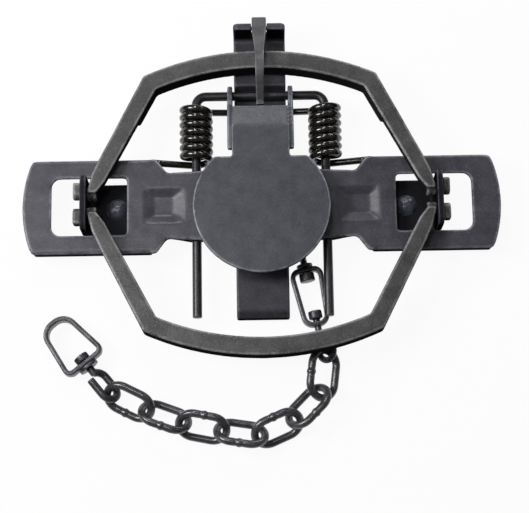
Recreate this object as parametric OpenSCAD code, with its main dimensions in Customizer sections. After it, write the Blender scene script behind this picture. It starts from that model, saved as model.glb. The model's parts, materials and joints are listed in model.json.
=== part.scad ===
// Foothold trap with two coil springs, set, with its swivels and chain.
// Millimetres. X runs through the two jaw posts, +Y to the trigger, Z up from the ground.

/* [Frame] */
// Length of the base bar
base_l = 172; // [170:0.5:174]
// Width of the base bar and of the post feet
frame_w = 27; // [26:0.1:27.4]
// Width of the cross bar
cross_w = 26.8; // [25.5:0.1:27]
// Thickness of the base bar
base_t = 4.5; // [4.2:0.1:4.6]
// Thickness of the cross bar and the post feet
plate_t = 3.5; // [3.2:0.1:3.6]
// Thickness of the jaw ears
ear_t = 3.1; // [2.8:0.1:3.3]
// Width of the jaw ears
ear_w = 28.4; // [27.5:0.1:28.8]

/* [Jaws] */
// Inside spread of the open jaws
jaw_spread = 139.7; // [138:0.1:141]
// Width of the gripping bar
bar_w = 9.2; // [8.8:0.1:9.6]
// Depth of the gripping bar
bar_h = 12; // [11.4:0.1:12.4]
// Depth of the arms below the hinge line
arm_drop = 1.5; // [1.2:0.1:1.7]
// Half the distance between the two jaw hinges
hinge_y = 5.4; // [5.2:0.1:5.6]
// Diameter of the jaw pins
pin_d = 6; // [5.6:0.1:6.2]

/* [Levers] */
// Distance from the middle to a lever tip
lever_tip = 121.6; // [119:0.2:123]
// Width of a lever
lever_w = 49.5; // [49:0.1:50]
// Thickness of a lever
lever_t = 2.6; // [2.4:0.1:2.7]
// Width of a lever's window
window_w = 29.8; // [29.4:0.1:30.4]

/* [Springs] */
// Diameter of the spring rod
rod_d = 4.8; // [4.6:0.1:4.9]
// Diameter of the spring wire
wire_d = 3.6; // [3.3:0.1:3.6]
// Outside diameter of a coil
coil_d = 17.4; // [17:0.1:17.6]
// Distance between two turns of a coil
coil_pitch = 4.1; // [4.05:0.01:4.14]

/* [Pan and dog] */
// Radius of the pan
pan_r = 34.6; // [33.6:0.1:35]
// Thickness of the pan
pan_t = 2.6; // [2.4:0.1:2.7]
// Width of the dog's head
dog_head_w = 7.4; // [7:0.1:7.6]
// Width of the dog's bar at its head
dog_bar_w = 4.8; // [4.4:0.1:5]
// Width of the dog's bar at its tip
dog_tip_w = 3.8; // [3.4:0.1:4.2]

/* [Chain] */
// Wire diameter of a link
link_d = 4; // [3.8:0.1:4.1]
// Outside length of a link
link_l = 28.1; // [27.9:0.1:28.4]
// Outside width of a link
link_w = 19; // [18.6:0.1:19.2]
// Thickness of the swivel straps
strap_t = 2.5; // [2.3:0.1:2.7]

/* [Hidden] */
$fn = 64;
run = 0.06;
gap = 0.3;

foot_top = base_t + plate_t;
ear_reach = 5.2;
ear_out = base_l / 2 + ear_reach;
ear_in = ear_out - ear_t;
ear_top = 28;
hinge_z = 20;
pin_r = pin_d / 2;
lug_r = pin_r + 0.3;
foot_start = 26;
rivet_back = 12;
rivet_x = base_l / 2 - rivet_back;
blind = 1;

jaw_face = hinge_z + hinge_y - 0.2;
bar_in = jaw_spread / 2;
bar_low = jaw_face - bar_h;
arc_y = -66;
arc_in = bar_in - arc_y;
arc_out = arc_in + bar_w;
corner_out = 59.5;
corner_in = 53;
corner_out_y = arc_y + sqrt(arc_out * arc_out - corner_out * corner_out);
corner_in_y = arc_y + sqrt(arc_in * arc_in - corner_in * corner_in);
arm_end = ear_in - gap;
arm_out = arm_end - 6;
arm_in = arm_end - 8.8;
step_y = 43;

rod_r = rod_d / 2;
rod_z = foot_top + rod_r;
leg_x = 33.2;
leg_end = -57.4;
rod_y = 59.3;
rod_bend = 5;

plate_low = rod_z + rod_r + gap;
lever_top = plate_low + lever_t;
lever_half = lever_w / 2;
tip_rise = 4.8;
neck_half = 17.4;
flange_in = 14.95;
window_from = ear_out - 22.7;
window_end = ear_out + 15.6;

wire_r = wire_d / 2;
coil_r = (coil_d - wire_d) / 2;
coil_y = 24.2;
coil_turns = 7;
out_slope = 17;
in_slope = 4;
out_leg = 20;
in_leg = 22;

pan_top = 27;
pan_low = pan_top - pan_t;
pan_y = -3.3;
pan_cut = 22.4;
tongue_half = 13.2;
crease_y = 38.8;
tongue_end = 49.6;
front_drop = 2.4;
side_in = 14.3;
side_out = 16.9;

raise = 4;
bar_end = 57.3;
joggle_y = 62;
post_y = 90;
post_top = 26;
dog_y = post_y + plate_t / 2;
dog_z = 23;
dog_pin_r = 1;
slot_half = 3.92;
slot_y = 88;
pin_out = 9;
bar_out = bar_in + bar_w;
crown = bar_out - 9;
over = 6.3;

swivel_z = 4.2;
tab_x = 19.8;
tab_y = -22.4;
tab_hole = 2.6;
tab_rim = 2.2;
swivel_turn = -79;
ring_d = 3.4;
ring_r = 4.2;
stem_d = 3.6;
strap_half = 2.8;

link_r = link_d / 2;
link_mid = (link_w - link_d) / 2;
link_run = link_l - link_w;
rolls = [-35, 45, -45, 45, -45, 45, -45];
function roll_z(i) = link_mid * sin(abs(rolls[i])) + link_r + gap;
chain_play = 0.6;
bent_play = 1;
chain_pitch = link_l - 2 * link_d - chain_play;
bent_pitch = link_l - 2 * link_d - bent_play;
turns = [-97.2, -134.8, -156.5, -189, -191.5, -200.3, -206.8];
weld_side = [-1, 1, -1, 1, -1, 1, 1];
chain_start = 55.4;

function along(p, a, l) = [p[0] + l * cos(a), p[1] + l * sin(a)];
hole_at = along([tab_x, tab_y], swivel_turn, -ring_r);
ring_aside = 1.4;
aside = ring_aside - 1.05;
p0 = along(along([tab_x, tab_y], swivel_turn, chain_start), swivel_turn + 90, aside);
p1 = along(p0, turns[0], bent_pitch);
p2 = along(p1, turns[1], bent_pitch);
p3 = along(p2, turns[2], bent_pitch);
p4 = along(p3, turns[3], bent_pitch);
p5 = along(p4, turns[4], chain_pitch);
p6 = along(p5, turns[5], chain_pitch);
p7 = along(p6, turns[6], chain_pitch);
stops = [p0, p1, p2, p3, p4, p5, p6, p7];
end_turn = 129;
end_aside = 0.5;
eye_d = 4;
eye_mid = 4.9;
eye_run = 6.6;
end_z = swivel_z + 3.3;
end_from = along(p7, end_turn + 90, end_aside);
echo(chain_points = stops);

function arc(cx, cy, r, a, b, n) = [for (i = [0 : n])
    [cx + r * cos(a + (b - a) * i / n), cy + r * sin(a + (b - a) * i / n)]];

// A Y-Z outline drawn out along X from x1 to x2
module across(x1, x2) {
    translate([x1, 0, 0])
        rotate([90, 0, 90])
            linear_extrude(x2 - x1)
                children();
}

// An X-Z outline drawn out along Y from y1 to y2
module lengthwise(y1, y2) {
    translate([0, y2, 0])
        rotate([90, 0, 0])
            linear_extrude(y2 - y1)
                children();
}

module base_bar() {
    color([0.16, 0.16, 0.17])
        difference() {
            translate([-base_l / 2, -frame_w / 2, 0])
                cube([base_l, frame_w, base_t]);
            for (x = [-rivet_x, rivet_x])
                translate([x, 0, -1])
                    cylinder(r = 3 + run, h = base_t + 2);
            translate([0, 0, blind])
                cylinder(r = 3 + run, h = base_t);
        }
}

module jaw_post() {
    bend = 2;
    difference() {
        union() {
            translate([foot_start, -frame_w / 2, base_t])
                cube([ear_out - foot_start - plate_t, frame_w, plate_t]);
            lengthwise(-frame_w / 2, frame_w / 2)
                polygon(concat([[ear_out - plate_t - 1, base_t]],
                    arc(ear_out - plate_t, foot_top, plate_t, -90, 0, 8),
                    [[ear_out, foot_top + 2], [ear_in, foot_top + 2]],
                    arc(ear_in - bend, foot_top + bend, bend, 0, -90, 6),
                    [[ear_out - plate_t - 1, foot_top]]));
            across(ear_in, ear_out)
                polygon(concat([[-frame_w / 2, foot_top + 1], [frame_w / 2, foot_top + 1]],
                    [[ear_w / 2, foot_top + 4]],
                    arc(ear_w / 2 - 4, ear_top - 4, 4, 0, 90, 8),
                    arc(4 - ear_w / 2, ear_top - 4, 4, 90, 180, 8),
                    [[-ear_w / 2, foot_top + 4]]));
        }
        for (y = [-hinge_y, hinge_y])
            translate([ear_in - 1, y, hinge_z])
                rotate([0, 90, 0])
                    cylinder(r = pin_r + run, h = ear_t + 2);
        translate([rivet_x, 0, base_t - 1])
            cylinder(r = 3 + run, h = plate_t + 2);
    }
}

module jaw_post_right() {
    color([0.16, 0.16, 0.17])
        jaw_post();
}

module jaw_post_left() {
    color([0.16, 0.16, 0.17])
        mirror([1, 0, 0])
            jaw_post();
}

// Shank from the ground side, domed head on top
module rivet(x, low) {
    head = 5.5;
    rise = 3;
    ball = (head * head + rise * rise) / (2 * rise);
    translate([x, 0, 0]) {
        translate([0, 0, low])
            cylinder(r = 3, h = foot_top + 0.8 - low);
        translate([0, 0, foot_top])
            rotate_extrude()
                polygon(concat([[0, 0], [head, 0]],
                    arc(0, rise - ball, ball, asin((ball - rise) / ball), 90, 10)));
    }
}

module rivet_left() {
    color([0.3, 0.33, 0.36])
        rivet(-rivet_x, 0.2);
}

module rivet_right() {
    color([0.3, 0.33, 0.36])
        rivet(rivet_x, 0.2);
}

module rivet_centre() {
    color([0.3, 0.33, 0.36])
        rivet(0, blind + 0.2);
}

// Flat bar, bent down at one end and stepped and turned up at the other for the dog
module cross_bar() {
    half = cross_w / 2;
    high = foot_top + raise;
    low = base_t + raise;
    bend = 2.2;
    color([0.17, 0.17, 0.18])
        difference() {
            union() {
                across(-half, half)
                    polygon(concat([[-bar_end + 3.5, 0.4], [-bar_end, 0.4]],
                        arc(5 - bar_end, foot_top - 5, 5, 180, 90, 8),
                        [[joggle_y, foot_top], [joggle_y + 2.6, high], [post_y - bend, high]],
                        arc(post_y - bend, high + bend, bend, -90, 0, 6),
                        [[post_y, high + bend + 1], [post_y + plate_t, high + bend + 1]],
                        arc(post_y - bend, low + bend + plate_t, bend + plate_t, 0, -90, 8),
                        [[joggle_y + 4.2, low], [joggle_y + 1.6, base_t]],
                        arc(5 - bar_end, base_t - 1.5, 1.5, 90, 180, 5)));
                lengthwise(post_y, post_y + plate_t)
                    polygon([[-half, high + bend], [half, high + bend], [half, post_top - 1.5],
                        [half - 1.5, post_top], [1.5 - half, post_top], [-half, post_top - 1.5]]);
                translate([half - 0.5, hole_at[1], base_t])
                    cube([hole_at[0] + tab_hole + tab_rim - half + 0.5, 10, plate_t - 0.5]);
                translate([hole_at[0], hole_at[1], base_t])
                    cylinder(r = tab_hole + tab_rim, h = plate_t - 0.5);
            }
            translate([-slot_half, slot_y, dog_z - 9.5])
                cube([2 * slot_half, 30, 40]);
            translate([-pin_out - 0.3, dog_y, dog_z])
                rotate([0, 90, 0])
                    cylinder(r = dog_pin_r + run, h = 2 * pin_out + 0.6);
            cylinder(r = 3 + run, h = 20);
            translate([hole_at[0], hole_at[1], 0])
                cylinder(r = tab_hole, h = 20);
        }
}

// U of round rod: two legs and the part across
module spring_rod() {
    color([0.13, 0.13, 0.14]) {
        for (s = [-1, 1]) {
            translate([s * leg_x, leg_end, rod_z])
                rotate([-90, 0, 0])
                    cylinder(r = rod_r, h = rod_y - rod_bend - leg_end);
            translate([s * (leg_x - rod_bend), rod_y - rod_bend, rod_z])
                rotate([0, 0, s > 0 ? 0 : 90])
                    rotate_extrude(angle = 90)
                        translate([rod_bend, 0])
                            circle(r = rod_r);
        }
        translate([rod_bend - leg_x, rod_y, rod_z])
            rotate([0, 90, 0])
                cylinder(r = rod_r, h = 2 * (leg_x - rod_bend));
    }
}

// Coil points for the right-hand side: leg under the lever, turns, leg under the cross bar
coil_sweep = 360 * coil_turns + out_slope - in_slope;
coil_steps = 12 * coil_turns;
function coil_at(psi, y) = [leg_x + coil_r * sin(psi), y, rod_z - coil_r * cos(psi)];
function coil_psi(i) = out_slope - coil_sweep * i / coil_steps;
function coil_len(i) = coil_y + coil_pitch * coil_sweep / 360 * i / coil_steps;
coil_path = concat(
    [for (l = [out_leg, out_leg / 2])
        coil_at(out_slope, coil_y) + l * [cos(out_slope), 0, sin(out_slope)]],
    [for (i = [0 : coil_steps]) coil_at(coil_psi(i), coil_len(i))],
    [for (l = [in_leg / 2, in_leg])
        coil_at(in_slope, coil_len(coil_steps)) - l * [cos(in_slope), 0, sin(in_slope)]]);
coil_turned = concat([out_slope, out_slope], [for (i = [0 : coil_steps]) coil_psi(i)], [in_slope, in_slope]);
function ring_at(i) = let (n = [sin(coil_turned[i]), 0, -cos(coil_turned[i])], b = [0, 1, 0])
    [for (k = [0 : 5]) coil_path[i] + wire_r * (cos(60 * k) * n + sin(60 * k) * b)];
coil_count = len(coil_path);
coil_points = [for (i = [0 : coil_count - 1]) each ring_at(i)];
coil_faces = concat(
    [for (k = [1 : 4]) [0, k, k + 1]],
    [for (i = [0 : coil_count - 2], k = [0 : 5]) each
        [[6 * i + k, 6 * i + 6 + k, 6 * i + (k + 1) % 6],
         [6 * i + (k + 1) % 6, 6 * i + 6 + k, 6 * i + 6 + (k + 1) % 6]]],
    [for (k = [1 : 4]) [6 * coil_count - 6, 6 * coil_count - 6 + k + 1, 6 * coil_count - 6 + k]]);
coil_gap = min([for (i = [2 : coil_count - 3], j = [i + 7 : coil_count - 3])
    norm(coil_path[i] - coil_path[j])]) - wire_d;
echo(coil_gap = coil_gap);

module spring() {
    polyhedron(points = coil_points, faces = coil_faces, convexity = 10);
}

module spring_right() {
    color([0.12, 0.11, 0.1])
        spring();
}

module spring_left() {
    color([0.12, 0.11, 0.1])
        mirror([1, 0, 0])
            spring();
}

// Sloped pocket pressed into a lever: its rim from x1 to x2, its floor from x3 to x4
module dimple(x1, x2, rim, x3, x4, floor_half, deep) {
    up = lever_top + 0.4;
    wide = 1 + 0.4 / deep;
    rim_y = floor_half + (rim - floor_half) * wide;
    near = x3 - (x3 - x1) * wide;
    far = x4 + (x2 - x4) * wide;
    low = lever_top - deep;
    polyhedron(points = [[x3, -floor_half, low], [x4, -floor_half, low], [x4, floor_half, low],
            [x3, floor_half, low], [near, -rim_y, up], [far, -rim_y, up], [far, rim_y, up],
            [near, rim_y, up]],
        faces = [[0, 1, 2, 3], [4, 7, 6, 5], [0, 4, 5, 1], [1, 5, 6, 2], [2, 6, 7, 3], [3, 7, 4, 0]]);
}

// Flat lever with a window round the jaw post, turned-down edges and a hinged neck
module lever() {
    tip_r = 1.8;
    bow = (lever_half * lever_half + tip_rise * tip_rise) / (2 * tip_rise);
    edge = asin((lever_half - tip_r) / (bow - tip_r));
    tip_x = lever_tip - bow + (bow - tip_r) * cos(edge);
    hole_r = 4.6;
    small_r = 1.6;
    difference() {
        union() {
            translate([0, 0, plate_low])
                linear_extrude(lever_t)
                    difference() {
                        polygon(concat([[27.6, neck_half + 1], [27.6, -neck_half - 1]],
                            [[47.2, -neck_half], [48.6, -neck_half - 0.6]],
                            arc(54.6, 2 - lever_half, 2, 212, 270, 4),
                            arc(tip_x, tip_r - lever_half, tip_r, 270, 360 - edge, 6),
                            arc(lever_tip - bow, 0, bow, 1 - edge, edge - 1, 16),
                            arc(tip_x, lever_half - tip_r, tip_r, edge, 90, 6),
                            arc(54.6, lever_half - 2, 2, 90, 148, 4),
                            [[48.6, neck_half + 0.6], [47.2, neck_half]]));
                        polygon(concat(
                            arc(window_from + small_r, small_r - window_w / 2, small_r, 180, 270, 4),
                            arc(window_end - hole_r, hole_r - window_w / 2, hole_r, 270, 360, 8),
                            arc(window_end - hole_r, window_w / 2 - hole_r, hole_r, 0, 90, 8),
                            arc(window_from + small_r, window_w / 2 - small_r, small_r, 90, 180, 4)));
                    }
            for (s = [-1, 1]) {
                lengthwise(s > 0 ? flange_in : -neck_half, s > 0 ? neck_half : -flange_in)
                    polygon([[27.6, plate_low + 1], [27.6, rod_z - 1.6], [30.4, rod_z - 5.2],
                        [36.4, rod_z - 5.2],
                        [44, plate_low - 1.4], [45, plate_low + 1]]);
                translate([55.6, s > 0 ? lever_half - 1.8 : -lever_half, plate_low - 3.2])
                    cube([tip_x - 55.6, 1.8, 4]);
            }
        }
        dimple(38.6, 60, 9.2, 45.4, 55, 4.7, 1.4);
        translate([leg_x, -40, rod_z])
            rotate([-90, 0, 0])
                cylinder(r = rod_r + run, h = 80);
    }
}

module lever_right() {
    color([0.24, 0.27, 0.3])
        lever();
}

module lever_left() {
    color([0.24, 0.27, 0.3])
        mirror([1, 0, 0])
            lever();
}

// One half arm outline, from the ear to the corner
arm_outline = concat([[arm_end - 4.6, hinge_y - 0.4], [arm_end, hinge_y - 0.4], [arm_end, hinge_y + 0.6],
    [arm_end - 2.4, 14.7], [arm_out, 22.5]],
    [[corner_out, corner_out_y], [corner_in, corner_in_y], [arm_in, hinge_y + 5]]);

step_in = corner_in + (arm_in - corner_in) * (corner_in_y - step_y) / (corner_in_y - hinge_y - 5);
step_out = corner_out + (arm_out - corner_out) * (corner_out_y - step_y) / (corner_out_y - 22.5);

module jaw() {
    translate([0, 0, bar_low])
        linear_extrude(bar_h)
            polygon(concat(
                arc(0, arc_y, arc_out, 90 - asin(corner_out / arc_out), 90 + asin(corner_out / arc_out), 24),
                arc(0, arc_y, arc_in, 90 + asin(corner_in / arc_in), 90 - asin(corner_in / arc_in), 24)));
    for (s = [0, 1])
        mirror([s, 0, 0]) {
            translate([0, 0, hinge_z - arm_drop])
                linear_extrude(jaw_face - hinge_z + arm_drop)
                    polygon(arm_outline);
            translate([0, 0, bar_low])
                linear_extrude(bar_h)
                    polygon([[corner_out, corner_out_y], [corner_in, corner_in_y],
                        [step_in, step_y], [step_out, step_y]]);
            translate([arm_end - 4.6, hinge_y, hinge_z])
                rotate([0, 90, 0])
                    cylinder(r = pin_r + 0.8, h = 4.6);
            translate([arm_end - 1, hinge_y, hinge_z])
                rotate([0, 90, 0])
                    cylinder(r = pin_r, h = ear_out + gap + 2 - arm_end);
            across(ear_out + gap, ear_out + 4)
                polygon(concat(arc(hinge_y, hinge_z, lug_r, 90, 270, 16),
                    [[10.8, hinge_z - lug_r], [10.8, hinge_z + lug_r]]));
        }
}

module jaw_dog_side() {
    color([0.25, 0.24, 0.23])
        jaw();
}

module jaw_loose() {
    color([0.25, 0.24, 0.23])
        mirror([0, 1, 0])
            jaw();
}

// Underside of the dog: an arch clear of the jaw as both turn together
function arch_at(y) = jaw_face + over - (y < crown ? 0.0285 : 0.05) * (y - crown) * (y - crown);
arch_from = tongue_end + 2.4;
function arch_step(i) = arch_from + (bar_out + 0.6 - arch_from) * i / 10;

// Arched bar over the jaw, with a wider head on the pin
module dog() {
    neck = bar_out - 2.6;
    wide = dog_y - 2;
    half = dog_head_w / 2;
    color([0.22, 0.22, 0.22])
        difference() {
            intersection() {
                across(-half - 1, half + 1) {
                    polygon([[neck, arch_at(neck) + 3], [neck, arch_at(neck)],
                        [bar_out - 1, arch_at(bar_out - 1)],
                        [bar_out + 0.6, arch_at(bar_out + 0.6)], [dog_y - 8.5, dog_z + 0.2],
                        [dog_y - 3.5, dog_z - 2.6], [dog_y, dog_z - 3.2], [dog_y + 2.5, dog_z - 2.6],
                        [dog_y + 5.1, dog_z - 0.4], [dog_y + 5.5, dog_z + 1.8], [dog_y + 4.5, dog_z + 3.4],
                        [dog_y - 1, dog_z + 4.6], [dog_y - 6.5, dog_z + 7]]);
                    polygon(concat([[tongue_end + 0.5, 25.3], [tongue_end + 0.35, 21.8]],
                        [for (i = [0 : 10]) [arch_step(i), arch_at(arch_step(i))]],
                        [for (i = [9 : -1 : 0]) [arch_step(i), arch_at(arch_step(i)) + 3]]));
                }
                linear_extrude(60)
                    polygon([[-dog_tip_w / 2, tongue_end], [dog_tip_w / 2, tongue_end], [dog_bar_w / 2, neck],
                        [half, wide], [half, dog_y + 9], [-half, dog_y + 9], [-half, wide],
                        [-dog_bar_w / 2, neck]]);
            }
            translate([-10, dog_y, dog_z])
                rotate([0, 90, 0])
                    cylinder(r = dog_pin_r + run, h = 20);
        }
}

module dog_pin() {
    color([0.5, 0.5, 0.5])
        translate([-pin_out, dog_y, dog_z])
            rotate([0, 90, 0])
                cylinder(r = dog_pin_r, h = 2 * pin_out);
}

// Round plate with a tongue to the dog and two hinge cheeks on the rod
module pan() {
    color([0.27, 0.29, 0.31])
        difference() {
            union() {
                translate([0, 0, pan_low])
                    linear_extrude(pan_t)
                        difference() {
                            translate([0, pan_y])
                                circle(r = pan_r, $fn = 96);
                            translate([-50, pan_cut])
                                square([100, 50]);
                        }
                across(-side_in - 0.2, side_in + 0.2)
                    polygon([[pan_cut - 4, pan_low], [crease_y, pan_low],
                        [tongue_end - 0.3, pan_low - front_drop],
                        [tongue_end, pan_top - front_drop], [crease_y, pan_top], [pan_cut - 4, pan_top]]);
                for (x = [-side_out, side_in])
                    across(x, x + side_out - side_in)
                        polygon(concat([[26.4, pan_top - 0.8], [26.4, pan_low - 1.5], [36, 20], [46, 13.6]],
                            arc(rod_y, rod_z, 4.9, 215, 350, 12),
                            [[64.4, 11.6], [63.4, 14.2], [56, 20.2], [tongue_end, pan_top - front_drop - 0.8],
                            [crease_y, pan_top - 0.8]]));
            }
            translate([-30, rod_y, rod_z])
                rotate([0, 90, 0])
                    cylinder(r = rod_r + run, h = 60);
        }
}

// Places a swivel piece with its axis along X at the swivel's height
module on_swivel() {
    translate([tab_x, tab_y, swivel_z])
        rotate([0, 0, swivel_turn])
            children();
}

module along_x(a, b, r) {
    translate([a, 0, 0])
        rotate([0, 90, 0])
            cylinder(r = r, h = b - a);
}

bar_a = 9;
bar_b = 37.5;
head_l = 3.2;

module upper_eye_pin() {
    color([0.2, 0.2, 0.2])
        on_swivel() {
            translate([0, 0, base_t + (plate_t - 0.5) / 2 - swivel_z])
                rotate([90, 0, 0])
                    rotate_extrude()
                        translate([ring_r, 0])
                            circle(r = ring_d / 2);
            along_x(ring_r, bar_a + strap_t + gap + 0.5, stem_d / 2);
            along_x(bar_a + strap_t + gap, bar_a + strap_t + gap + head_l + 1.2, 3.9);
        }
}

module upper_washer() {
    color([0.35, 0.35, 0.36])
        on_swivel()
            difference() {
                along_x(bar_a - 1.9, bar_a - gap, 4.1);
                along_x(bar_a - 3, bar_a + 1, stem_d / 2 + run);
            }
}

// Corners of a rounded strap outline from x a to b: near half-width and radius, far half-width and radius
function strap_outline(a, b, wide, near_r, narrow, far_r) = concat(
    arc(a + near_r, near_r - wide, near_r, 180, 270, 6),
    arc(b - far_r, far_r - narrow, far_r, 270, 360, 8),
    arc(b - far_r, narrow - far_r, far_r, 0, 90, 8),
    arc(a + near_r, wide - near_r, near_r, 90, 180, 6));

// Strap bent to a closed loop: its inside runs from a + strap_t to b along the swivel
module strap_loop(a, b, wide, near_r, narrow, far_r, tall) {
    translate([0, 0, -tall])
        linear_extrude(2 * tall)
            difference() {
                polygon(strap_outline(a, b + strap_t, wide, near_r, narrow, far_r));
                polygon(strap_outline(a + strap_t, b, wide - strap_t, near_r - strap_t,
                    narrow - strap_t, far_r - strap_t));
            }
}

module centre_yoke() {
    color([0.2, 0.2, 0.2])
        on_swivel()
            difference() {
                strap_loop(bar_a, bar_b, 8.5, 4.8, 7.2, 6, strap_half);
                along_x(0, bar_b + 10, stem_d / 2 + run);
            }
}

low_r = 4.9;
low_d = 3.4;
lower_eye = chain_start + link_r + 0.5 - low_r;

module lower_eye_pin() {
    color([0.2, 0.2, 0.2])
        on_swivel() {
            along_x(bar_b - 2.6 - head_l, bar_b - 1.6, 3.5);
            along_x(bar_b - 2.1, lower_eye - low_r, stem_d / 2);
            translate([lower_eye, ring_aside, 1.9])
                rotate([45, 0, 0])
                    rotate_extrude()
                        translate([low_r, 0])
                            circle(r = low_d / 2);
        }
}

// Oval link along X in its own X-Y plane, with its butt weld
module oval(run_l, mid, r) {
    for (s = [0, 1])
        mirror([0, s, 0])
            translate([-run_l / 2, mid, 0])
                rotate([0, 90, 0])
                    cylinder(r = r, h = run_l);
    for (s = [0, 1])
        mirror([s, 0, 0])
            translate([run_l / 2, 0, 0])
                rotate([0, 0, -90])
                    rotate_extrude(angle = 180)
                        translate([mid, 0])
                            circle(r = r);
}

module link(i) {
    color([0.22, 0.22, 0.23])
        translate([(stops[i][0] + stops[i + 1][0]) / 2, (stops[i][1] + stops[i + 1][1]) / 2, roll_z(i)])
            rotate([0, 0, turns[i]])
                rotate([rolls[i], 0, 0]) {
                    oval(link_run, link_mid, link_r);
                    translate([-1, weld_side[i] * link_mid, 0])
                        rotate([0, 90, 0])
                            cylinder(r = link_r + 0.35, h = 2);
                }
}

module link_1() { link(0); }
module link_2() { link(1); }
module link_3() { link(2); }
module link_4() { link(3); }
module link_5() { link(4); }
module link_6() { link(5); }
module link_7() { link(6); }

// Places an end swivel piece: X along its axis from the last chain stop
module on_end() {
    translate([end_from[0], end_from[1], end_z])
        rotate([0, 0, end_turn])
            children();
}

end_a = 19;
end_b = 45.2;

module end_eye_pin() {
    back = -(link_r + 0.8);
    mid = back + eye_mid;
    color([0.2, 0.2, 0.2])
        on_end() {
            rotate([45, 0, 0]) {
                translate([mid, 0, 0])
                    rotate([0, 0, 90])
                        rotate_extrude(angle = 180)
                            translate([eye_mid, 0])
                                circle(r = eye_d / 2);
                translate([mid, -eye_mid, 0])
                    rotate([0, 90, 0])
                        cylinder(r = eye_d / 2, h = eye_run);
                translate([mid, eye_mid, 0])
                    rotate([0, 90, 0])
                        cylinder(r = eye_d / 2, h = eye_run + 3);
                translate([mid + eye_run, 0, 0])
                    rotate([0, 0, -90])
                        rotate_extrude(angle = 90)
                            translate([eye_mid, 0])
                                circle(r = eye_d / 2);
            }
            along_x(mid + eye_run + eye_mid - 0.8, end_a + strap_t + gap + 0.5, eye_d / 2);
            along_x(end_a + strap_t + gap, end_a + strap_t + gap + head_l, 3.9);
        }
}

module end_washer() {
    color([0.35, 0.35, 0.36])
        on_end()
            difference() {
                along_x(end_a - 2.1, end_a - gap, 5.2);
                along_x(end_a - 3, end_a + 1, eye_d / 2 + run);
            }
}

module end_loop() {
    color([0.2, 0.2, 0.2])
        on_end()
            difference() {
                strap_loop(end_a, end_b, 11.6, 4, 9.4, 8.4, 3.6);
                along_x(end_a - 1, end_a + strap_t + 1, eye_d / 2 + run);
            }
}

base_bar();
cross_bar();
jaw_post_left();
jaw_post_right();
rivet_left();
rivet_right();
rivet_centre();
spring_rod();
spring_left();
spring_right();
lever_left();
lever_right();
jaw_dog_side();
jaw_loose();
dog();
dog_pin();
pan();
upper_eye_pin();
upper_washer();
centre_yoke();
lower_eye_pin();
link_1();
link_2();
link_3();
link_4();
link_5();
link_6();
link_7();
end_eye_pin();
end_washer();
end_loop();
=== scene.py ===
"""Looks of a set two-spring foothold trap with its swivels and chain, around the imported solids."""

import json
import math

import bmesh
import bpy
import numpy as np
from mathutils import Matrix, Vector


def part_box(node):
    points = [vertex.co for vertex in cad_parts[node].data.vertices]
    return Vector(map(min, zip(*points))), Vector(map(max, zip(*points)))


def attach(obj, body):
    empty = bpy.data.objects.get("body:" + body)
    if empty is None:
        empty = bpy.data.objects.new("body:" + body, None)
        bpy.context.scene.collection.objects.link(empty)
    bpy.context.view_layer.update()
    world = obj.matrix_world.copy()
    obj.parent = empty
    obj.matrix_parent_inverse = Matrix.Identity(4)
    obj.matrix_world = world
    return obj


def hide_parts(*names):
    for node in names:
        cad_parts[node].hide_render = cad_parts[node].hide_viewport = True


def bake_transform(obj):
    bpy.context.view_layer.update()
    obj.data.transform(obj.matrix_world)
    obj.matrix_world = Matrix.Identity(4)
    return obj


MM = 0.001

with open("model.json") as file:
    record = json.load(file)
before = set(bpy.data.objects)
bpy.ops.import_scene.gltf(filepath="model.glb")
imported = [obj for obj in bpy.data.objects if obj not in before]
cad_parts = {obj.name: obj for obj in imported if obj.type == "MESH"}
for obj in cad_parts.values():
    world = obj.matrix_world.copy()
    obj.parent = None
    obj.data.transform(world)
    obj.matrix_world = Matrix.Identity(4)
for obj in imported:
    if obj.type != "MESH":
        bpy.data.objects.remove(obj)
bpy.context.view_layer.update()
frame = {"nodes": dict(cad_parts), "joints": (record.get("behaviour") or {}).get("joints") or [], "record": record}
nodes = frame["nodes"]
scene = bpy.context.scene
joints = {joint["name"]: joint for joint in frame["joints"]}
body_of_node = {node: body for body, held in frame["record"]["behaviour"]["bodies"].items() for node in held}
slot_of_node = {part["node"]: part["material_slot"] for part in frame["record"]["subparts"]}


def linear(hex_colour):
    """sRGB hex to linear RGBA: c/12.92 below 0.04045, else ((c + 0.055) / 1.055) to the 2.4."""
    srgb = np.array([int(hex_colour[i : i + 2], 16) for i in (1, 3, 5)]) / 255
    rgb = np.where(srgb <= 0.04045, srgb / 12.92, ((srgb + 0.055) / 1.055) ** 2.4)
    return (*rgb.tolist(), 1.0)


def add(tree, kind, inputs=None, **settings):
    """Adds one node; a socket given as an input is linked, anything else is set on the input."""
    node = tree.nodes.new(kind)
    for name, value in settings.items():
        setattr(node, name, value)
    for socket, value in (inputs or {}).items():
        if isinstance(value, bpy.types.NodeSocket):
            tree.links.new(value, node.inputs[socket])
        else:
            node.inputs[socket].default_value = value
    return node


def per_metre(size_mm):
    """Noise scale whose features are about size_mm across, on Object coordinates in metres."""
    return 1.0 / (size_mm * MM)


# Shared by every finish: grain's share in the mottle, the mottle's dark and light levels and the level at which
# edge wear with its painted edge highlight is full, where specks begin and are full, the least patch of that edge
# wear and highlight, where the painted outer shade begins and is full as shares of its reach along X, how much
# unshaded top stays there, and how far the roughness swings.
GRAIN_SHARE = 0.6
MOTTLE_DARK, MOTTLE_LIGHT, MOTTLE_WEAR_AND_HIGHLIGHT = 0.6, 1.0, 0.9
SPECK_FROM, SPECK_FULL = 0.56, 0.74
PATCH_LEAST = 0.1
OUTER_SHADE_EDGE = (0.8, 1.2)
OUTER_UNSHADED_LEFT = 0.15
ROUGH_SWING = 0.06


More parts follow.
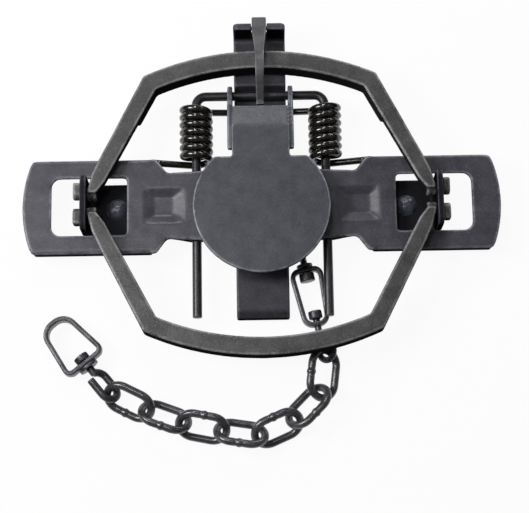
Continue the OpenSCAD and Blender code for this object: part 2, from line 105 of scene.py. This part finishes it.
def metal_surface(name, colour, light, dark, roughness, metallic=0.0, grain_mm=0.5, grain_depth_mm=0.02,
                  blotch_mm=14.0, speck_mm=0.9, speck=0.25, edge=0.35, wave_mm=10.0, wave_depth_mm=0.1,
                  shine=0.5, held=None, outer_shade_mm=None):
    """A metal finish: blotches of two tones, fine specks, and edges turned to the light tone by wear and a painted
    highlight.

    colour, light and dark are sRGB hex. The piece's own edge attribute, made patchy, turns its edges to the light
    tone:
    edge wear, and a painted highlight along every edge. A wide wave and a fine grain bend the normal. shine is the
    specular level, 0.5 for common lacquers. Given a side colour, the piece's own upward-facing attribute says how
    far each face turns up; faces turned sideways or down get painted shade, in that dark side colour and with no
    specular.
    Given a reach along X, what lies further out than that gets most of the painted shade too.
    """
    material = bpy.data.materials.new(name)
    material.use_nodes = True
    tree = material.node_tree
    tree.nodes.clear()
    place = add(tree, "ShaderNodeTexCoord").outputs["Object"]
    blotch = add(tree, "ShaderNodeTexNoise",
                 {"Vector": place, "Scale": per_metre(blotch_mm), "Detail": 5.0, "Roughness": 0.6})
    grain = add(tree, "ShaderNodeTexNoise",
                {"Vector": place, "Scale": per_metre(grain_mm), "Detail": 3.0, "Roughness": 0.65})
    mottle = add(tree, "ShaderNodeMath", {0: grain.outputs["Fac"], 1: GRAIN_SHARE, 2: blotch.outputs["Fac"]},
                 operation="MULTIPLY_ADD")
    tone = add(tree, "ShaderNodeMapRange",
               {"Value": mottle.outputs[0], "From Min": MOTTLE_DARK, "From Max": MOTTLE_LIGHT})
    specks = add(tree, "ShaderNodeTexNoise",
                 {"Vector": place, "Scale": per_metre(speck_mm), "Detail": 2.0, "Roughness": 0.5})
    speck_mask = add(tree, "ShaderNodeMapRange",
                     {"Value": specks.outputs["Fac"], "From Min": SPECK_FROM, "From Max": SPECK_FULL,
                      "To Max": speck})
    patchy = add(tree, "ShaderNodeMapRange",
                 {"Value": mottle.outputs[0], "From Min": MOTTLE_DARK, "From Max": MOTTLE_WEAR_AND_HIGHLIGHT,
                  "To Min": PATCH_LEAST * edge, "To Max": edge})
    # Edge wear and a painted highlight: proud edges, made patchy, turn to the light tone.
    edge_wear_and_highlight = add(tree, "ShaderNodeAttribute", attribute_name="edge_wear_and_highlight")
    edge_mask = add(tree, "ShaderNodeMath", {0: edge_wear_and_highlight.outputs["Fac"], 1: patchy.outputs["Result"]},
                    operation="MULTIPLY")
    base = add(tree, "ShaderNodeMix",
               {"Factor": tone.outputs["Result"], "A": linear(dark), "B": linear(colour)}, data_type="RGBA")
    specked = add(tree, "ShaderNodeMix",
                  {"Factor": speck_mask.outputs["Result"], "A": base.outputs["Result"], "B": linear(light)},
                  data_type="RGBA")
    dye_and_side_shade, specular = specked.outputs["Result"], shine
    # Painted shade: faces turned sideways or down take the dark side colour and lose their specular, as where the
    # lamps leave them in shade.
    if held:
        unshaded_share = add(tree, "ShaderNodeAttribute", attribute_name="unshaded_share").outputs["Fac"]
        # Painted shade further out along X as well, under the jaw posts.
        if outer_shade_mm:
            along = add(tree, "ShaderNodeSeparateXYZ", {"Vector": place}).outputs["X"]
            out = add(tree, "ShaderNodeMath", {0: along}, operation="ABSOLUTE").outputs[0]
            outer_unshaded = add(tree, "ShaderNodeMapRange",
                        {"Value": out, "From Min": OUTER_SHADE_EDGE[0] * outer_shade_mm * MM,
                         "From Max": OUTER_SHADE_EDGE[1] * outer_shade_mm * MM,
                         "To Min": 1.0, "To Max": OUTER_UNSHADED_LEFT}).outputs["Result"]
            unshaded_share = add(tree, "ShaderNodeMath", {0: unshaded_share, 1: outer_unshaded}, operation="MULTIPLY").outputs[0]
        dye_and_side_shade = add(tree, "ShaderNodeMix", {"Factor": unshaded_share, "A": linear(held), "B": dye_and_side_shade},
                   data_type="RGBA").outputs["Result"]
        specular = add(tree, "ShaderNodeMath", {0: unshaded_share, 1: shine}, operation="MULTIPLY").outputs[0]
    # The light tone on the edges: edge wear and a painted highlight.
    worn_and_highlit = add(tree, "ShaderNodeMix", {"Factor": edge_mask.outputs[0], "A": dye_and_side_shade, "B": linear(light)},
               data_type="RGBA")
    rough = add(tree, "ShaderNodeMapRange",
                {"Value": grain.outputs["Fac"], "From Min": 0.3, "From Max": 0.7,
                 "To Min": roughness + ROUGH_SWING, "To Max": roughness - ROUGH_SWING})
    wave = add(tree, "ShaderNodeTexNoise", {"Vector": place, "Scale": per_metre(wave_mm), "Detail": 1.0})
    wavy = add(tree, "ShaderNodeBump",
               {"Height": wave.outputs["Fac"], "Distance": wave_depth_mm * MM, "Strength": 1.0})
    bump = add(tree, "ShaderNodeBump",
               {"Height": grain.outputs["Fac"], "Distance": grain_depth_mm * MM, "Strength": 1.0,
                "Normal": wavy.outputs["Normal"]})
    surface = add(tree, "ShaderNodeBsdfPrincipled",
                  {"Base Color": worn_and_highlit.outputs["Result"], "Metallic": metallic,
                   "Roughness": rough.outputs["Result"], "Normal": bump.outputs["Normal"],
                   "Specular IOR Level": specular})
    add(tree, "ShaderNodeOutputMaterial", {"Surface": surface.outputs["BSDF"]})
    return material


# Pressed steel dipped in trap dye: a thin blue-grey film over wavy sheet; its edges bright from wear and a painted
# highlight, its side faces in painted shade.
lever_steel = metal_surface("dye_dipped_pressed_steel", "#46454e", "#a4a6b2", "#313239", 0.36,
                            blotch_mm=7.0, grain_mm=1.1, grain_depth_mm=0.05, speck=0.1, edge=0.6,
                            wave_mm=14.0, wave_depth_mm=0.4, held="#2c2d33")
# The same film on flatter sheet: calmer, with a clearer bright rim from wear and a painted highlight, and side
# faces in painted shade.
pan_steel = metal_surface("dye_dipped_pan_steel", "#46484f", "#a2a5b0", "#34363d", 0.38,
                          blotch_mm=6.0, grain_mm=1.0, grain_depth_mm=0.05, speck=0.1, edge=0.7,
                          wave_mm=12.0, wave_depth_mm=0.25, held="#2f3036")
# Sand-cast iron: neutral grey with a fine pebbly skin; its side faces painted darker as shade.
jaw_iron = metal_surface("sand_cast_jaw_iron", "#4c4a4b", "#bab8bc", "#2d2c2c", 0.38,
                         grain_mm=1.1, grain_depth_mm=0.12, blotch_mm=12.0, speck=0.14, edge=0.5,
                         wave_mm=7.0, wave_depth_mm=0.3, held="#282727")
# A finer casting; its side faces painted darker as shade, so the top stands out lighter.
dog_iron = metal_surface("sand_cast_dog_iron", "#504f51", "#a09ea2", "#3a393b", 0.42,
                         grain_mm=0.6, grain_depth_mm=0.05, blotch_mm=8.0, speck=0.1, edge=0.8,
                         held="#2c2b2d")
# Sheared bar stock, dyed dark and grey-violet; painted shade turns its side faces, and all more than about 45 mm
# out along X under the jaw posts, almost black.
frame_steel = metal_surface("dyed_bar_stock", "#3c3c44", "#80838d", "#2a2b31", 0.42, blotch_mm=8.0,
                            grain_mm=1.0, speck=0.12, wave_mm=10.0, wave_depth_mm=0.2, shine=0.4,
                            held="#17181b", outer_shade_mm=45.0)
# Drawn round rod under the same dye: even and dark, with a narrow line of light along it.
rod_steel = metal_surface("dyed_round_rod", "#26262a", "#7c7c84", "#19191c", 0.34, blotch_mm=8.0, speck=0.15)
# Rivet heads upset by hammer: smooth, bluish, with small flats and a soft highlight.
rivet_steel = metal_surface("hammered_rivet_steel", "#434852", "#a3acba", "#30343c", 0.3, blotch_mm=4.0,
                            speck=0.2, edge=0.5, shine=0.8)
# Hard-drawn spring wire with a baked oil black: brown-black and glossy.
spring_wire = metal_surface("oil_blacked_spring_wire", "#1f1b18", "#7a6d62", "#100d0b", 0.16,
                            grain_mm=1.2, grain_depth_mm=0.01, blotch_mm=5.0, speck=0.1, shine=1.0)
# Barrel-tumbled welded chain: gunmetal with bright rubbed crowns.
chain_steel = metal_surface("tumbled_chain_steel", "#5c5b61", "#b6b6bc", "#36363a", 0.26, metallic=0.4,
                            grain_mm=0.8, grain_depth_mm=0.02, blotch_mm=5.0, speck=0.12, shine=0.8)
# Forged swivel pieces: darker than the chain, with a soft metal sheen.
swivel_steel = metal_surface("forged_swivel_steel", "#434349", "#a6a6ad", "#28282c", 0.32, metallic=0.4,
                             grain_mm=0.8, grain_depth_mm=0.03, blotch_mm=6.0, speck=0.2)
# Stamped washers: little dye, so the sheen is more of bare metal.
washer_steel = metal_surface("stamped_washer_steel", "#55555b", "#b0b0b6", "#404046", 0.34, metallic=0.7,
                             blotch_mm=4.0)

FINISH = {
    "frame_steel": frame_steel,
    "rivet_steel": rivet_steel,
    "rod_steel": rod_steel,
    "spring_steel": spring_wire,
    "lever_steel": lever_steel,
    "jaw_iron": jaw_iron,
    "dog_iron": dog_iron,
    "pan_steel": pan_steel,
    "swivel_steel": swivel_steel,
    "washer_steel": washer_steel,
    "chain_steel": chain_steel,
}

for node, slot in slot_of_node.items():
    nodes[node].data.materials.clear()
    nodes[node].data.materials.append(FINISH[slot])


# Edges as the work leaves them: size of the even grid in millimetres, and rounds of evening out.
WORN = {
    "base_bar": (0.5, 5),
    "cross_bar": (0.5, 5),
    "jaw_post_left": (0.4, 5),
    "jaw_post_right": (0.4, 5),
    "lever_left": (0.5, 7),
    "lever_right": (0.5, 7),
    "jaw_dog_side": (0.5, 8),
    "jaw_loose": (0.5, 8),
    "dog": (0.3, 8),
    "pan": (0.5, 5),
    "centre_yoke": (0.4, 6),
    "end_loop": (0.4, 6),
    "upper_eye_pin": (0.35, 6),
    "lower_eye_pin": (0.35, 6),
    "end_eye_pin": (0.35, 6),
    "upper_washer": (0.3, 4),
    "end_washer": (0.3, 4),
    "spring_rod": (0.4, 3),
}
# Points of a solid's mesh closer than this, in metres, are one point.
SAME_POINT = 2e-6
# Upward share of a normal at which the painted side shade begins to give way, and the span from there to no
# painted shade.
UNSHADED_FROM, UNSHADED_SPAN = 0.35, 0.4
# Edge wear and painted edge highlight: rounds of further evening out, and where they begin and their span
# (millimetres proud).
PROUD_ROUNDS = 10
PROUD_FROM, PROUD_SPAN = 0.06, 0.08
# A lever's top, its half width, its rolled edge, and its pressed pocket's floor and rim (millimetres).
LEVER_TOP = 15.7
LEVER_HALF = 24.75
LEVER_ROLL = 3.0
ROLL_FROM_X = 56.0
ROLL_ROUNDS = 26
POCKET_X = (38.6, 45.4, 55.0, 60.0)
POCKET_Y = (-9.2, -4.7, 4.7, 9.2)
POCKET_EXTRA = 0.75
# The pan's tongue: place of its crease, how far the bend spreads, and half its width.
CREASE_Y = 38.8
CREASE_SOFT = 5.0
CREASE_ROUNDS = 60
TONGUE_HALF = 13.0


def stand_in(piece, node):
    """The piece joins the scene, rides with the solid's body and stands in its place; the solid is hidden."""
    scene.collection.objects.link(piece)
    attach(piece, body_of_node[node])
    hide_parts(node)


def evened(points, edges, rounds, share=0.5):
    """Each round moves every point the given share of the way to the mean of its neighbours."""
    one, other = edges.T
    count = np.bincount(edges.ravel(), minlength=len(points))[:, None]
    for _ in range(rounds):
        total = np.stack([np.bincount(one, points[other, k], len(points))
                          + np.bincount(other, points[one, k], len(points)) for k in range(3)], 1)
        points = points + share * (total / count - points)
    return points


def pressed(points, edges):
    """Lever sheet: its long edges rolled by further evening out, its pocket pressed deeper.

    The pocket's extra depth rises in a straight line from rim to floor along X and along Y; the two
    shares are multiplied, and only points near the sheet's top are moved.
    """
    x, y, z = np.abs(points[:, 0]), np.abs(points[:, 1]), points[:, 2]
    near_edge = np.clip((y - LEVER_HALF + LEVER_ROLL) / LEVER_ROLL, 0.0, 1.0)
    high = np.clip((z - LEVER_TOP + 4.0) / 1.5, 0.0, 1.0)
    rolled = 0.5 * np.sqrt(near_edge) * high * (x > ROLL_FROM_X)
    points = evened(points, edges, ROLL_ROUNDS, rolled[:, None])
    slopes = (0.0, 1.0, 1.0, 0.0)
    depth = np.interp(x, POCKET_X, slopes) * np.interp(points[:, 1], POCKET_Y, slopes)
    top = np.clip((points[:, 2] - LEVER_TOP + 1.9) / 0.4, 0.0, 1.0)
    return evened(points - np.stack([0 * x, 0 * x, POCKET_EXTRA * depth * top], 1), edges, 3)


def worn_and_highlit(node, grid_mm, rounds):
    """A copy of a solid as an even grid of small faces, evened out so that its edges are round.

    One attribute rises from none to full as the set trap's faces turn upwards; a finish with a dark side colour
    paints shade where it is low.
    The edge attribute, for edge wear and a painted edge highlight, rises with how far a point stands proud of the
    surface evened out further.
    """
    copy = nodes[node].data.copy()
    work = bmesh.new()
    work.from_mesh(copy)
    bmesh.ops.remove_doubles(work, verts=work.verts, dist=SAME_POINT)
    work.to_mesh(copy)
    work.free()
    solid = bpy.data.objects.new("solid_copy", copy)
    scene.collection.objects.link(solid)
    grid = solid.modifiers.new("even_grid", "REMESH")
    grid.mode = "VOXEL"
    grid.voxel_size = grid_mm * MM
    mesh = bpy.data.meshes.new_from_object(solid.evaluated_get(bpy.context.evaluated_depsgraph_get()))
    bpy.data.objects.remove(solid)
    mesh.name = f"worn_{node}"
    mesh.materials.clear()
    mesh.materials.append(FINISH[slot_of_node[node]])
    points = np.empty(3 * len(mesh.vertices), np.float32)
    mesh.vertices.foreach_get("co", points)
    edges = np.empty(2 * len(mesh.edges), np.int32)
    mesh.edges.foreach_get("vertices", edges)
    edges = edges.reshape(-1, 2)
    points = evened(points.reshape(-1, 3) / MM, edges, rounds)
    if node.startswith("lever_"):
        points = pressed(points, edges)
    if node == "pan":
        x, y = np.abs(points[:, 0]), points[:, 1]
        on_tongue = np.clip((TONGUE_HALF - x) / 2.0, 0.0, 1.0)
        near_crease = np.exp(-(((y - CREASE_Y) / CREASE_SOFT) ** 2)) * on_tongue
        points = evened(points, edges, CREASE_ROUNDS, 0.5 * near_crease[:, None])
    mesh.vertices.foreach_set("co", (points * MM).astype(np.float32).ravel())
    mesh.polygons.foreach_set("use_smooth", np.ones(len(mesh.polygons), bool))
    mesh.update()
    normals = np.empty(3 * len(mesh.vertices), np.float32)
    mesh.vertices.foreach_get("normal", normals)
    # Painted shade share: 1 on faces turned up, falling to 0 as faces turn sideways or down.
    unshaded_share = mesh.attributes.new("unshaded_share", "FLOAT", "POINT")
    unshaded_share.data.foreach_set("value", np.clip((normals[2::3] - UNSHADED_FROM) / UNSHADED_SPAN, 0.0, 1.0))
    # Edge wear and painted edge highlight: how far each point stands proud.
    proud = np.sum((points - evened(points, edges, PROUD_ROUNDS)) * normals.reshape(-1, 3), 1)
    wear = np.clip((proud - PROUD_FROM) / PROUD_SPAN, 0.0, 1.0)
    edge_wear_and_highlight = mesh.attributes.new("edge_wear_and_highlight", "FLOAT", "POINT")
    edge_wear_and_highlight.data.foreach_set("value", wear.astype(np.float32))
    stand_in(bpy.data.objects.new(mesh.name, mesh), node)


for node, (grid_mm, rounds) in WORN.items():
    worn_and_highlit(node, grid_mm, rounds)


def surface_mesh(name, points, slot, closed_along=False):
    """Mesh from a grid of points [row, column, xyz] in millimetres, closed round its columns.

    Each cell is one quad; where the rows don't close, each end row is capped with one flat face.
    """
    rows, columns = points.shape[:2]
    last = rows if closed_along else rows - 1
    row, column = np.meshgrid(np.arange(last), np.arange(columns), indexing="ij")
    next_row, next_column = (row + 1) % rows, (column + 1) % columns
    quads = np.stack([row * columns + column, row * columns + next_column,
                      next_row * columns + next_column, next_row * columns + column], -1)
    faces = quads.reshape(-1, 4).tolist()
    if not closed_along:
        faces.append(np.arange(columns)[::-1].tolist())
        faces.append((np.arange(columns) + (rows - 1) * columns).tolist())
    mesh = bpy.data.meshes.new(name)
    mesh.from_pydata((points.reshape(-1, 3) * MM).tolist(), [], faces)
    mesh.polygons.foreach_set("use_smooth", np.ones(len(mesh.polygons), bool))
    mesh.materials.append(FINISH[slot])
    mesh.update()
    return mesh


# Springs: the same winding as the solids, as smooth round wire (millimetres and degrees).
WIRE_R = 1.8
COIL_R = 6.9
COIL_START_Y = 24.2
COIL_PITCH = 4.1
COIL_TURNS = 7
OUTER_SLOPE = 17.0
INNER_SLOPE = 4.0
OUTER_LEG = 20.0
INNER_LEG = 22.0
RINGS_PER_TURN = 40
WIRE_SIDES = 18
LEG_STEPS = 8


def spring_wire_points(axle_x, axle_z):
    """Torsion spring: round section carried along leg, helix and leg.

    The helix runs COIL_R from the axle with the angle falling evenly and Y rising by one pitch a turn;
    each leg leaves along the helix tangent. The section's axes are the axle's radius and Y.
    """
    side = math.copysign(1.0, axle_x)
    sweep = 360.0 * COIL_TURNS + OUTER_SLOPE - INNER_SLOPE
    share = np.linspace(0.0, 1.0, RINGS_PER_TURN * COIL_TURNS + 1)
    angle = np.radians(OUTER_SLOPE - sweep * share)
    helix = np.stack([COIL_R * np.sin(angle), COIL_START_Y + COIL_PITCH * sweep / 360.0 * share,
                      -COIL_R * np.cos(angle)], 1)
    along = np.linspace(1.0, 0.0, LEG_STEPS + 1)[:-1, None]
    outer = np.radians(OUTER_SLOPE)
    inner = np.radians(INNER_SLOPE)
    outer_leg = helix[0] + OUTER_LEG * along * np.array([np.cos(outer), 0.0, np.sin(outer)])
    inner_leg = helix[-1] - INNER_LEG * along[::-1] * np.array([np.cos(inner), 0.0, np.sin(inner)])
    path = np.concatenate([outer_leg, helix, inner_leg])
    turned = np.concatenate([np.full(len(along), outer), angle, np.full(len(along), inner)])
    radial = np.stack([np.sin(turned), np.zeros_like(turned), -np.cos(turned)], 1)
    lengthways = np.broadcast_to([0.0, 1.0, 0.0], radial.shape)
    round_angle = np.linspace(0.0, 2 * np.pi, WIRE_SIDES, endpoint=False)
    section = (np.cos(round_angle)[None, :, None] * radial[:, None]
               + np.sin(round_angle)[None, :, None] * lengthways[:, None])
    points = path[:, None] + WIRE_R * section
    points = points * np.array([side, 1.0, 1.0]) + np.array([axle_x, 0.0, axle_z])
    return points[:, ::-1] if side > 0 else points


for side in ("left", "right"):
    axle = np.array(joints[f"lever_{side}_rise"]["pos_m"]) / MM
    name = f"wound_spring_{side}"
    mesh = surface_mesh(name, spring_wire_points(axle[0], axle[2]), "spring_steel")
    piece = bpy.data.objects.new(name, mesh)
    scene.collection.objects.link(piece)
    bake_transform(piece)
    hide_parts(f"spring_{side}")


# Chain: the links' places and sizes as in the solids (millimetres and degrees).
CHAIN_START = np.array([19.8, -22.4])
SWIVEL_TURN = -79.0
CHAIN_FROM = 55.4
CHAIN_ASIDE = 0.35
LINK_TURNS = np.array([-97.2, -134.8, -156.5, -189.0, -191.5, -200.3, -206.8])
LINK_ROLLS = np.array([-35.0, 45.0, -45.0, 45.0, -45.0, 45.0, -45.0])
LINK_PITCHES = np.array([19.1, 19.1, 19.1, 19.1, 19.5, 19.5, 19.5])
WELD_SIDES = (-1, 1, -1, 1, -1, 1, 1)
LINK_R = 2.0
LINK_MID = 7.5
LINK_RUN = 9.1
LINK_GROUND = 0.3
LINK_RINGS = 168
LINK_SIDES = 20
WELD_SWELL = 0.17
WELD_HALF = 0.85
PINCH = 0.05
PINCH_OUT = 1.9
PINCH_HALF = 0.6


def heading(degrees):
    """Unit vectors in the ground plane along angles from X."""
    angle = np.radians(degrees)
    return np.stack([np.cos(angle), np.sin(angle)], -1)


def link_points(centre, turn, roll, weld_side):
    """Closed round wire: two straight runs joined by half circles, then rolled, turned and set in place.

    The core point slides along the middle line and the outward angle swings at each end, both as straight
    functions of the length run; the wire's radius swells by a bell curve at the butt weld and is pinched
    a little on both sides of it.
    """
    bend = math.pi * LINK_MID
    stops = np.cumsum([0.0, LINK_RUN, bend, LINK_RUN, bend])
    length = np.linspace(0.0, stops[-1], LINK_RINGS, endpoint=False)
    outward = np.interp(length, stops, np.pi * np.array([0.5, 0.5, -0.5, -0.5, -1.5]))
    core = np.interp(length, stops, LINK_RUN * np.array([-0.5, 0.5, 0.5, -0.5, -0.5]))
    normal = np.stack([np.cos(outward), np.sin(outward), np.zeros_like(outward)], 1)
    path = LINK_MID * normal + np.stack([core, 0 * core, 0 * core], 1)
    weld = length - (0.5 * LINK_RUN if weld_side > 0 else 1.5 * LINK_RUN + bend)
    swell = (1.0 + WELD_SWELL * np.exp(-(weld / WELD_HALF) ** 2)
             - PINCH * np.exp(-((np.abs(weld) - PINCH_OUT) / PINCH_HALF) ** 2))
    round_angle = np.linspace(0.0, 2 * np.pi, LINK_SIDES, endpoint=False)[None, :, None]
    section = np.cos(round_angle) * normal[:, None] + np.sin(round_angle) * np.array([0.0, 0.0, 1.0])
    points = path[:, None] + LINK_R * swell[:, None, None] * section
    tip, swing = np.radians(roll), np.radians(turn)
    rolled = np.array([[1, 0, 0], [0, np.cos(tip), -np.sin(tip)], [0, np.sin(tip), np.cos(tip)]])
    turned = np.array([[np.cos(swing), -np.sin(swing), 0], [np.sin(swing), np.cos(swing), 0], [0, 0, 1]])
    return points @ (turned @ rolled).T + centre


first_stop = CHAIN_START + CHAIN_FROM * heading(SWIVEL_TURN) + CHAIN_ASIDE * heading(SWIVEL_TURN + 90)
steps = LINK_PITCHES[:, None] * heading(LINK_TURNS)
link_middles = first_stop + np.cumsum(steps, 0) - 0.5 * steps
link_heights = LINK_MID * np.sin(np.radians(np.abs(LINK_ROLLS))) + LINK_R + LINK_GROUND
for index, weld_side in enumerate(WELD_SIDES):
    node = f"link_{index + 1}"
    centre = np.array([*link_middles[index], link_heights[index]])
    points = link_points(centre, LINK_TURNS[index], LINK_ROLLS[index], weld_side)
    mesh = surface_mesh(f"welded_{node}", points, "chain_steel", True)
    stand_in(bpy.data.objects.new(mesh.name, mesh), node)


# Rivets: shank and head as in the solids (millimetres), the head's dome worked to small flats.
SHANK_R = 3.0
HEAD_R = 5.5
HEAD_RISE = 3.0
HEAD_SEAT = 8.0
HEAD_TOP = 2.75
HAMMER_FLATS = 6
FLAT_HEIGHT = 3.35
FLAT_SLOPE = 0.42
SHANK_ROWS = 7
DOME_ROWS = 24
RIVET_SIDES = 72


def rivet_points(x, low, start_angle):
    """Round shank with a domed head; the dome is the lower of a ball and of tilted flats set round it."""
    ball = (HEAD_R**2 + HEAD_RISE**2) / (2 * HEAD_RISE)
    out = np.concatenate([[0.2, SHANK_R - 0.3, SHANK_R, SHANK_R], np.linspace(HEAD_R - 0.2, HEAD_R, 3),
                          HEAD_R * np.cos(np.linspace(0.05, np.pi / 2 - 0.04, DOME_ROWS))])
    round_angle = np.linspace(0.0, 2 * np.pi, RIVET_SIDES, endpoint=False)
    dome = HEAD_SEAT + np.sqrt(np.maximum(ball**2 - out**2, 0.0)) - (ball - HEAD_RISE)
    shank = [low, low, low + 0.3, HEAD_SEAT, HEAD_SEAT, HEAD_SEAT + 0.05, HEAD_SEAT + 0.2]
    height = np.concatenate([shank, dome[SHANK_ROWS:]])
    blow = np.arange(HAMMER_FLATS)
    flat_angle = start_angle + blow * 2 * np.pi / HAMMER_FLATS + 0.25 * np.sin(3.1 * blow)
    reach = out[:, None, None] * np.cos(round_angle[None, :, None] - flat_angle)
    flats = HEAD_SEAT + FLAT_HEIGHT + 0.12 * np.cos(2.3 * blow) - FLAT_SLOPE * reach
    top = np.minimum(HEAD_SEAT + HEAD_TOP, flats.min(-1))
    on_shank = np.arange(len(out))[:, None] < SHANK_ROWS
    z = np.where(on_shank, height[:, None], np.minimum(height[:, None], top))
    return np.stack([x + out[:, None] * np.cos(round_angle), out[:, None] * np.sin(round_angle), z], -1)


# Each rivet's lower end (millimetres) and the direction of its first hammer blow (radians).
RIVETS = {"rivet_left": (0.2, 0.3), "rivet_right": (0.2, 1.0), "rivet_centre": (1.2, 0.6)}
for node, (low, start_angle) in RIVETS.items():
    x = float(sum(corner.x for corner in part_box(node)) / 2 / MM)
    mesh = surface_mesh(f"hammered_{node}", rivet_points(x, low, start_angle), "rivet_steel")
    stand_in(bpy.data.objects.new(mesh.name, mesh), node)


# Stage: a pale floor that keeps the shadow, soft boxes, and the photograph's camera.
FLOOR_SIZE = 6.0
FLOOR_GLOW = 0.88
FLOOR_WHITE = 1.06
FLOOR_LIT = (0.5, 0.5, 0.5, 1)
FLOOR_Z = -0.0001
AIR_LIGHT = 0.1


def pale_floor():
    """Matt white floor; to the eye and in reflections most of its white is its own, the rest is lit."""
    half = FLOOR_SIZE / 2
    mesh = bpy.data.meshes.new("floor")
    mesh.from_pydata([(-half, -half, FLOOR_Z), (half, -half, FLOOR_Z), (half, half, FLOOR_Z),
                      (-half, half, FLOOR_Z)], [], [(0, 1, 2, 3)])
    material = bpy.data.materials.new("matt_white_floor")
    material.use_nodes = True
    tree = material.node_tree
    tree.nodes.clear()
    ray = add(tree, "ShaderNodeLightPath")
    seen = add(tree, "ShaderNodeMath", {0: ray.outputs["Is Camera Ray"], 1: ray.outputs["Is Glossy Ray"]},
               operation="MAXIMUM")
    seen = add(tree, "ShaderNodeMath", {0: seen.outputs[0], 1: ray.outputs["Is Transmission Ray"]},
               operation="MAXIMUM")
    share = add(tree, "ShaderNodeMath", {0: seen.outputs[0], 1: FLOOR_GLOW}, operation="MULTIPLY")
    lit = add(tree, "ShaderNodeBsdfDiffuse", {"Color": FLOOR_LIT})
    glow = add(tree, "ShaderNodeEmission", {"Color": (1, 1, 1, 1), "Strength": FLOOR_WHITE})
    both = add(tree, "ShaderNodeMixShader", {0: share.outputs[0], 1: lit.outputs[0], 2: glow.outputs[0]})
    add(tree, "ShaderNodeOutputMaterial", {"Surface": both.outputs[0]})
    mesh.materials.append(material)
    floor = bpy.data.objects.new("floor", mesh)
    scene.collection.objects.link(floor)


def soft_box(name, place, size, watts):
    """Square area lamp facing the middle of the trap."""
    lamp = bpy.data.lights.new(name, "AREA")
    lamp.shape = "SQUARE"
    lamp.size = size
    lamp.energy = watts
    box = bpy.data.objects.new(name, lamp)
    box.location = place
    direction = -box.location
    box.rotation_euler = direction.to_track_quat("-Z", "Y").to_euler()
    scene.collection.objects.link(box)


pale_floor()
soft_box("left_soft_box", (-0.48, 0.03, 0.56), 0.3, 3.6)
soft_box("sheen_soft_box", (-0.17, 0.02, 0.9), 0.2, 1.1)
soft_box("back_soft_box", (-0.1, 0.64, 0.7), 0.14, 1.7)
soft_box("right_soft_box", (0.42, 0.1, 0.6), 0.08, 0.1)
soft_box("rear_soft_box", (0.42, 0.8, 0.2), 0.4, 4.0)

world = bpy.data.worlds.new("studio_air")
world.use_nodes = True
world.node_tree.nodes["Background"].inputs["Color"].default_value = (1, 1, 1, 1)
world.node_tree.nodes["Background"].inputs["Strength"].default_value = AIR_LIGHT
scene.world = world

IMAGE_W = 529
FOCAL_PX = 1597.4
CAMERA_AIM = np.array([1.0, -28.4, 20.0])
CAMERA_DISTANCE = 800.0
CAMERA_TILT = math.radians(13.0)
CAMERA_ROLL = math.radians(0.93)
SENSOR_MM = 36.0

lens = bpy.data.cameras.new("photo_camera")
lens.sensor_fit = "HORIZONTAL"
lens.sensor_width = SENSOR_MM
lens.lens = FOCAL_PX * SENSOR_MM / IMAGE_W
lens.clip_end = 20.0
camera = bpy.data.objects.new("photo_camera", lens)
back = np.array([0.0, -math.sin(CAMERA_TILT), math.cos(CAMERA_TILT)])
camera.location = ((CAMERA_AIM + CAMERA_DISTANCE * back) * MM).tolist()
camera.rotation_mode = "XYZ"
camera.rotation_euler = (CAMERA_TILT, 0.0, 0.0)
camera.rotation_euler.rotate_axis("Z", -CAMERA_ROLL)
scene.collection.objects.link(camera)
scene.camera = camera
scene.view_settings.view_transform = "Standard"
